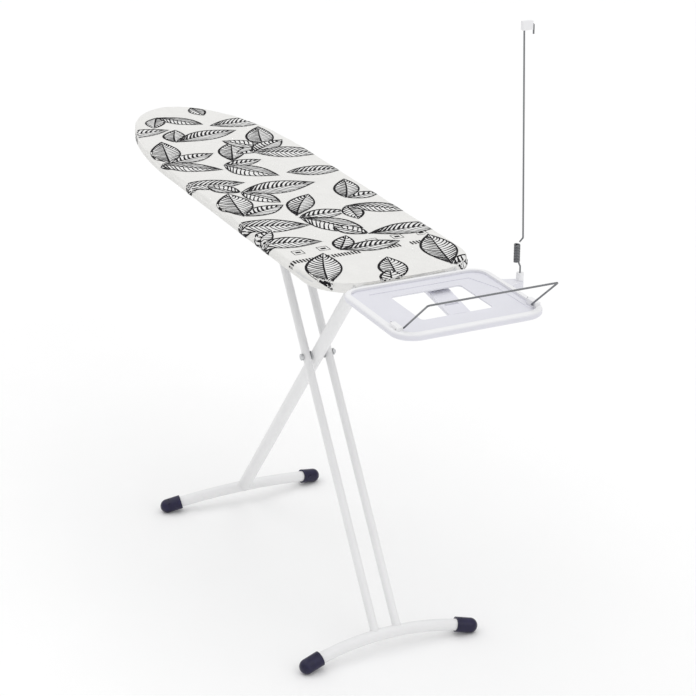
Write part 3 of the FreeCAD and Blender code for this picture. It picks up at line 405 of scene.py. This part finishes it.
def make_pad():
    """Foam slab with soft edges under the cloth."""
    inset, roll = 6 * MM, 4 * MM
    top, thick = PAD_HIGH.z, PAD_HIGH.z - PAD_LOW.z

    def place(edge, normal, distance, along):
        turn = min(distance, 1.0) * math.pi / 2
        out = roll * math.sin(turn) - max(0.0, distance - 2.0) * 30 * MM
        drop = roll * (1 - math.cos(turn)) + min(max(0.0, distance - 1.0), 1.0) * (thick - roll)
        return edge[0] + normal[0] * out, edge[1] + normal[1] * out, top - drop

    pad = covered_form("board_pad_foam", inset, top, roll, (0.25, 0.5, 0.75, 1.0, 2.0, 3.0), place,
                       SLOT_LOOKS["pad_foam"])
    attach(pad, "board")
    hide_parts("board_pad")
    return pad


def make_cover():
    """Cotton cover: flat top, rolled edge, and a gathered return under the board."""
    steps = 22
    distances = [WRAP * (number + 1) / steps for number in range(steps)]
    return covered_form("board_cover_cloth", 0.0, TOP, TOP_ROLL, distances, cloth_point, SLOT_LOOKS["cover_cloth"])


def relax_cloth(cover, pad):
    """Settles the cover on its pad as cloth, pinned where it is drawn in underneath."""
    start = [vertex.co.copy() for vertex in cover.data.vertices]
    pinned = cover.vertex_groups.new(name="drawn_in")
    low = TOP - EDGE_DEPTH * 0.55
    pinned.add([v.index for v in cover.data.vertices if v.co.z < low], 1.0, "REPLACE")
    stop = pad.modifiers.new("Stop", "COLLISION")
    stop_settings = pad.collision
    stop_settings.thickness_outer = 0.0012
    stop_settings.cloth_friction = 8.0
    cloth = cover.modifiers.new("Cloth", "CLOTH")
    cloth.settings.quality = 6
    cloth.settings.mass = 0.25
    cloth.settings.tension_stiffness = 20
    cloth.settings.compression_stiffness = 20
    cloth.settings.bending_stiffness = 0.6
    cloth.settings.shrink_min = -0.006
    cloth.settings.vertex_group_mass = pinned.name
    cloth.collision_settings.distance_min = 0.0012
    scene = bpy.context.scene
    for number in range(1, CLOTH_FRAMES + 1):
        scene.frame_set(number)
    settled = cover.evaluated_get(bpy.context.evaluated_depsgraph_get())
    places = [vertex.co.copy() for vertex in settled.data.vertices]
    cover.modifiers.remove(cloth)
    pad.modifiers.remove(stop)
    scene.frame_set(1)
    cap = SETTLE_CAP
    for vertex, before, after in zip(cover.data.vertices, start, places):
        move = after - before
        if move.length > cap:
            move *= cap / move.length
        vertex.co = before + move
        if vertex.co.z > TOP - EDGE_DEPTH * 0.4:
            inside = abs(vertex.co.y) < HALF - 12 * MM
            if inside:
                vertex.co.z = max(vertex.co.z, PAD_HIGH.z + 0.9 * MM)
    cover.vertex_groups.clear()


def finish_cover(cover):
    """Soft ripple on the top, one subdivision, then the cover joins the board's body in place of the CAD cover."""
    for vertex in cover.data.vertices:
        spot = vertex.co
        ripple = noise.noise(Vector((spot.x * 7, spot.y * 9, 0.3))) * 0.35 * MM
        if spot.z > TOP - 3 * MM:
            vertex.co.z = min(spot.z + ripple, TOP + 0.8 * MM)
    subdivide = cover.modifiers.new("Subdivide", "SUBSURF")
    subdivide.levels = 1
    subdivide.render_levels = 1
    bpy.context.view_layer.objects.active = cover
    bpy.ops.object.modifier_apply(modifier=subdivide.name)
    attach(cover, "board")
    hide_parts("board_cover")


# ---------------------------------------------------------------- print on the cloth
class Leaf:
    """A printed leaf in plan: base point, heading, length, half width and bend of its midrib."""

    def __init__(self, base, heading, length, half, bend, swell):
        self.base = np.array(base)
        self.heading = np.array([math.cos(heading), math.sin(heading)])
        self.side = np.array([-self.heading[1], self.heading[0]])
        self.length, self.half, self.bend, self.swell = length, half, bend, swell

    def width(self, share):
        share = np.clip(share, 0, 1)
        return self.half * np.sin(math.pi * share ** self.swell) ** 1.05

    def rib(self, share):
        return self.bend * 4 * share * (1 - share)

    def plan(self, share, across):
        """Plan point at a share of the length and a distance off the midrib."""
        share, across = np.asarray(share, float), np.asarray(across, float)
        return (self.base + np.multiply.outer(share * self.length, self.heading)
                + np.multiply.outer(self.rib(share) + across, self.side))

    def holds(self, points, halo):
        """Whether plan points lie on the leaf or within its halo."""
        local = points - self.base
        share = local @ self.heading / self.length
        off = np.abs(local @ self.side - self.rib(share))
        slack = halo / self.length
        return (share > -slack) & (share < 1 + slack) & (off < self.width(share) + halo)


class Print:
    """Collects flat ribbons and patches in plan, before they are laid on the cloth."""

    def __init__(self):
        self.points, self.faces = [], []

    def ribbon(self, line, widths, keep):
        """Ribbon along a plan line; segments whose middle isn't kept are left out."""
        line = np.asarray(line, float)
        ahead = np.gradient(line, axis=0)
        ahead /= np.maximum(np.linalg.norm(ahead, axis=1), 1e-9)[:, None]
        side = np.stack([-ahead[:, 1], ahead[:, 0]], 1) * (np.asarray(widths, float) / 2)[:, None]
        start = len(self.points)
        for left, right in zip(line + side, line - side):
            self.points += [left, right]
        shown = keep((line[1:] + line[:-1]) / 2)
        for number in np.flatnonzero(shown):
            at = start + 2 * number
            self.faces.append((at, at + 1, at + 3, at + 2))

    def patch(self, grid):
        """Sheet of quads from a grid of plan points."""
        start, (rows, columns) = len(self.points), grid.shape[:2]
        self.points += list(grid.reshape(-1, 2))
        for row in range(rows - 1):
            for column in range(columns - 1):
                at = start + row * columns + column
                self.faces.append((at, at + 1, at + columns + 1, at + columns))


def draw_leaf(ink, ground, leaf, covers, rng):
    """Ground patch, bold outline, midrib and curved veins of one leaf, under those that cover it."""
    halo = 3.2 * MM

    def keep(points):
        shown = np.ones(len(points), bool)
        for other in covers:
            shown &= ~other.holds(points, halo)
        return shown

    shares = np.linspace(-halo / leaf.length * 1.2, 1 + halo / leaf.length * 1.2, 40)
    spread = leaf.width(shares) + halo * np.clip(1.3 - np.abs(shares * 2 - 1) ** 12, 0.15, 1)
    ground.patch(np.stack([leaf.plan(shares, spread * across) for across in np.linspace(-1, 1, 7)], 1))
    shares = np.linspace(0, 1, 44)
    ends = np.minimum(1, 6 * np.minimum(shares, 1 - shares) + 0.25)
    for side in (-1, 1):
        ink.ribbon(leaf.plan(shares, side * leaf.width(shares)), (5.0 * MM + 0.8 * MM * side) * ends, keep)
    ink.ribbon(leaf.plan(shares, 0 * shares), 5.2 * MM * (1.05 - 0.6 * shares), keep)
    veins = max(6, int(leaf.length / (13.6 * MM)))
    for side in (-1, 1):
        for number in range(veins):
            root = 0.05 + 0.84 * (number + (0.35 if side > 0 else 0)) / veins
            rise = 0.12 + 0.03 * rng.random()
            steps = np.linspace(0, 1, 9)
            share = root + rise * steps ** 1.5
            across = side * leaf.width(share) * steps * 0.97
            bold = (5.2 + 1.6 * rng.random()) * MM if side > 0 else (3.1 + 0.9 * rng.random()) * MM
            taper = 1.1 - 0.65 * steps if side > 0 else 0.7 + 0.4 * steps
            ink.ribbon(leaf.plan(share, across), bold * taper, keep)


def on_board(point):
    """Whether a plan point lies on the board's flat top or just past its edge."""
    x, y = point
    past = 6 * MM
    nose = NOSE_X + NOSE_LENGTH
    if x < nose:
        return math.hypot((x - nose) / (NOSE_LENGTH + past), y / (HALF + past)) < 1
    return x < END_X + past and abs(y) < HALF + past


def leaf_sprays(rng):
    """Generic sprays of one to three leaves on a staggered lattice over the cloth."""
    sprays = []
    for column in range(10):
        for row in range(3):
            x = NOSE_X + 70 * MM + column * 156 * MM + (row % 2) * 78 * MM + rng.uniform(-14, 14) * MM
            y = (row - 1) * 136 * MM + rng.uniform(-12, 12) * MM
            heading = math.radians((62, 150, 82, 40, 168, 100)[(column * 2 + row * 3) % 6] + rng.uniform(-14, 14))
            length = rng.uniform(138, 200) * MM
            half = length * rng.uniform(0.185, 0.235)
            base = np.array([x, y]) - 0.5 * length * np.array([math.cos(heading), math.sin(heading)])
            bend = rng.uniform(-8, 8) * MM
            spray = []
            if (column + row) % 3 != 0:
                turn = math.radians(rng.choice((-62, 58)))
                small = length * rng.uniform(0.55, 0.72)
                spray.append(Leaf(base, heading + turn, small, small * 0.24, bend / 2, 0.95))
            if (column + 2 * row) % 5 == 1:
                turn = math.radians(rng.choice((-118, 125)))
                small = length * 0.5
                spray.append(Leaf(base, heading + turn, small, small * 0.26, 0.0, 1.0))
            spray.append(Leaf(base, heading, length, half, bend, rng.uniform(0.86, 1.1)))
            sprays += [leaf for leaf in spray if on_board(leaf.plan(0.5, 0.0))]
    return sprays


def draw_ruler(ink, leaves):
    """Plain ladder of ticks across the wide end, with a row of small squares beside it."""
    ladder_x = END_X - 178 * MM
    reach = HALF + 6 * MM

    def keep(points):
        shown = np.ones(len(points), bool)
        for leaf in leaves:
            shown &= ~leaf.holds(points, 3 * MM)
        return shown

    y = -reach
    number = 0
    while y < reach:
        if number % 13 < 10:
            tick = np.stack([np.linspace(ladder_x - 9 * MM, ladder_x + 9 * MM, 5), np.full(5, y)], 1)
            ink.ribbon(tick, np.full(5, 4.2 * MM), keep)
        y += 7.6 * MM
        number += 1
    for square_y in np.arange(-150, 151, 60) * MM:
        half, x = 12 * MM, ladder_x - 52 * MM
        corners = [(-half, -half), (half, -half), (half, half), (-half, half), (-half, -half)]
        for a, b in zip(corners, corners[1:]):
            run = np.linspace((x + a[0], square_y + a[1]), (x + b[0], square_y + b[1]), 5)
            ink.ribbon(run, np.full(5, 1.5 * MM), keep)
        bar = np.linspace((x, square_y - half * 0.5), (x, square_y + half * 0.5), 5)
        ink.ribbon(bar, np.full(5, 8 * MM), keep)


def wrap_on_cloth(points, tree, lift):
    """Lays plan points on the cloth: past the edge they follow the roll down its side."""
    boundary, normals = outline(TOP_ROLL, 2400)
    points = np.array(points)
    placed = []
    for start in range(0, len(points), 2000):
        part = points[start:start + 2000]
        gaps = part[:, None, :] - boundary[None, :, :]
        nearest = np.argmin((gaps ** 2).sum(2), 1)
        for point, index in zip(part, nearest):
            out = float((point - boundary[index]) @ normals[index])
            if out <= 0:
                guess = Vector((point[0], point[1], TOP))
            else:
                guess = Vector(cloth_point(boundary[index], normals[index], min(out, WRAP * 0.62), 0.0))
            spot, normal, _, _ = tree.find_nearest(guess)
            placed.append(spot + normal * lift)
    return placed


def trimmed(print_layer):
    """Drops quads that reach past the part of the cloth that shows."""
    boundary, normals = outline(TOP_ROLL, 2400)
    points = np.array(print_layer.points)
    limit = TOP_ARC + SIDE + LOW_ARC * 0.8
    inside = np.zeros(len(points), bool)
    for start in range(0, len(points), 2000):
        gaps = points[start:start + 2000, None, :] - boundary[None, :, :]
        nearest = np.argmin((gaps ** 2).sum(2), 1)
        out = ((points[start:start + 2000] - boundary[nearest]) * normals[nearest]).sum(1)
        inside[start:start + 2000] = out < limit
    return [face for face in print_layer.faces if all(inside[corner] for corner in face)]


def print_cover(cover):
    """Ink and its pale ground, laid a hair above the cloth."""
    rng = random.Random(PRINT_SEED)
    ink, ground = Print(), Print()
    leaves = leaf_sprays(rng)
    for number, leaf in enumerate(leaves):
        draw_leaf(ink, ground, leaf, leaves[number + 1:], rng)
    draw_ruler(ink, leaves)
    tree = BVHTree.FromObject(cover, bpy.context.evaluated_depsgraph_get())
    looks = {
        "cover_print_ink": (ink, 0.42 * MM, printed_cotton("print_ink", (0.012, 0.011, 0.013), 0.15, 0.0)),
        "cover_print_ground": (ground, 0.25 * MM, printed_cotton("print_ground", (0.86, 0.86, 0.85), 0.3)),
    }
    for name, (layer, lift, look) in looks.items():
        faces = trimmed(layer)
        item = mesh_object(name, wrap_on_cloth(layer.points, tree, lift), faces, look)
        drop_loose(item)
        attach(item, "board")


# ---------------------------------------------------------------- small made pieces
def swept_tube(name, centres, radius, look, sides=10):
    """Round tube along a list of points, with closed ends."""
    curve = bpy.data.curves.new(name, "CURVE")
    curve.dimensions = "3D"
    curve.bevel_depth = radius
    curve.bevel_resolution = sides // 2 - 2
    curve.use_fill_caps = True
    spline = curve.splines.new("POLY")
    spline.points.add(len(centres) - 1)
    for point, centre in zip(spline.points, centres):
        point.co = (*centre, 1)
    shaped = bpy.data.objects.new(name + "_path", curve)
    bpy.context.scene.collection.objects.link(shaped)
    mesh = bpy.data.meshes.new_from_object(shaped.evaluated_get(bpy.context.evaluated_depsgraph_get()))
    bpy.data.objects.remove(shaped)
    mesh.name = name
    mesh.materials.clear()
    mesh.materials.append(look)
    for polygon in mesh.polygons:
        polygon.use_smooth = True
    item = bpy.data.objects.new(name, mesh)
    bpy.context.scene.collection.objects.link(item)
    return item


def make_spring():
    """Close-wound coil of the cord guide."""
    low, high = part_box("guide_spring")
    low_z = high.z - 43 * MM
    wire = 1.8 * MM
    mean = (high.y - low.y) / 2 - wire
    centre = (low + high) / 2
    turns = 11.5
    steps = int(turns * 22)
    start = math.pi / 2
    path = []
    for number in range(steps + 1):
        share = number / steps
        angle = start + turns * 2 * math.pi * share
        z = low_z + wire + (high.z - low_z - 2 * wire) * share
        path.append((centre.x + mean * math.cos(angle), centre.y + mean * math.sin(angle), z))
    path.insert(0, (centre.x, centre.y + mean, low_z - 2 * MM))
    spring = swept_tube("guide_coil_spring", path, wire, SLOT_LOOKS["chrome_wire"])
    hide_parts("guide_spring")
    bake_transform(spring)


def make_welds():
    """Weld beads where each leg tube meets its foot."""
    joints = (("rear", "rear_leg", "rear_leg_tube", "rear_foot_tube", 16, (0,)),
              ("front", "front_leg", "front_leg_tube_left", "front_foot_tube", 10,
               (-TWIN_TUBE_Y, TWIN_TUBE_Y)))
    for name, body, leg, foot, radius, offsets in joints:
        leg_low, leg_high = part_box(leg)
        foot_low, foot_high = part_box(foot)
        lean = 1 if name == "rear" else -1
        run = (leg_high.x - leg_low.x) * lean
        axis = Vector((run, 0, leg_high.z - leg_low.z)).normalized()
        foot_x = (foot_high.x if name == "rear" else foot_low.x) - lean * 14 * MM
        foot_z = foot_high.z - 14 * MM
        flat = axis.cross(Vector((0, 1, 0)))
        for number, offset in enumerate(offsets):
            centre = Vector((foot_x, offset * MM, foot_z))
            path = []
            for step in range(49):
                turn = step / 48 * 2 * math.pi
                off = min(radius, 13.6) * math.cos(turn)
                rise = math.sqrt(14.0 ** 2 - off ** 2)
                across = Vector((0, radius * math.sin(turn) * MM, 0))
                path.append(centre + flat * off * MM + across + axis * rise * MM)
            bead = swept_tube("weld_%s_%d" % (name, number), path, 1.6 * MM, SLOT_LOOKS["white_steel"])
            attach(bead, body)


# ---------------------------------------------------------------- stage
def make_stage():
    """Pale, even floor under soft light from above and from the tray's end."""
    bpy.context.scene.view_settings.view_transform = "Standard"
    ground = material("studio_floor", (0.97, 0.97, 0.97), 0.9, Specular_IOR_Level=0.1)
    mottle(ground, (0.97, 0.97, 0.97), 0.005, 3.0)
    floor = mesh_object("studio_floor", [(-30, -30, 0), (30, -30, 0), (30, 30, 0), (-30, 30, 0)],
                        [(0, 1, 2, 3)], ground, smooth=False)
    world = bpy.data.worlds.new("studio")
    world.use_nodes = True
    world.node_tree.nodes["Background"].inputs["Color"].default_value = (1.0, 1.0, 1.0, 1)
    world.node_tree.nodes["Background"].inputs["Strength"].default_value = 0.68
    bpy.context.scene.world = world
    for name, toward, spread, strength in (("overhead", (0.5, 0.25, -3.0), 80, 0.95),
                                           ("side", (-2.6, -0.9, -2.2), 50, 0.35)):
        lamp = bpy.data.lights.new(name, "SUN")
        lamp.angle = math.radians(spread)
        lamp.energy = strength
        item = bpy.data.objects.new(name, lamp)
        item.rotation_euler = Vector(toward).to_track_quat("-Z", "Y").to_euler()
        bpy.context.scene.collection.objects.link(item)


def make_camera():
    """Long lens from the tray end, above the board and to its side."""
    azimuth, elevation, roll = (math.radians(angle) for angle in (64.304, 22.593, -0.089))
    aim = Vector((0.2983, -0.0245, 0.700))
    distance = 4.484
    back = Vector((math.sin(azimuth) * math.cos(elevation), -math.cos(azimuth) * math.cos(elevation),
                   math.sin(elevation)))
    lens = bpy.data.cameras.new("camera")
    lens.lens = 103.5
    lens.clip_end = 100
    camera = bpy.data.objects.new("camera", lens)
    camera.rotation_mode = "QUATERNION"
    camera.rotation_quaternion = (-back).to_track_quat("-Z", "Y")
    camera.location = aim + back * distance
    bpy.context.scene.collection.objects.link(camera)
    bpy.context.scene.camera = camera


make_camera()
dress_frame()
board_pad = make_pad()
board_cover = make_cover()
relax_cloth(board_cover, board_pad)
finish_cover(board_cover)
print_cover(board_cover)
make_spring()
make_welds()
make_stage()
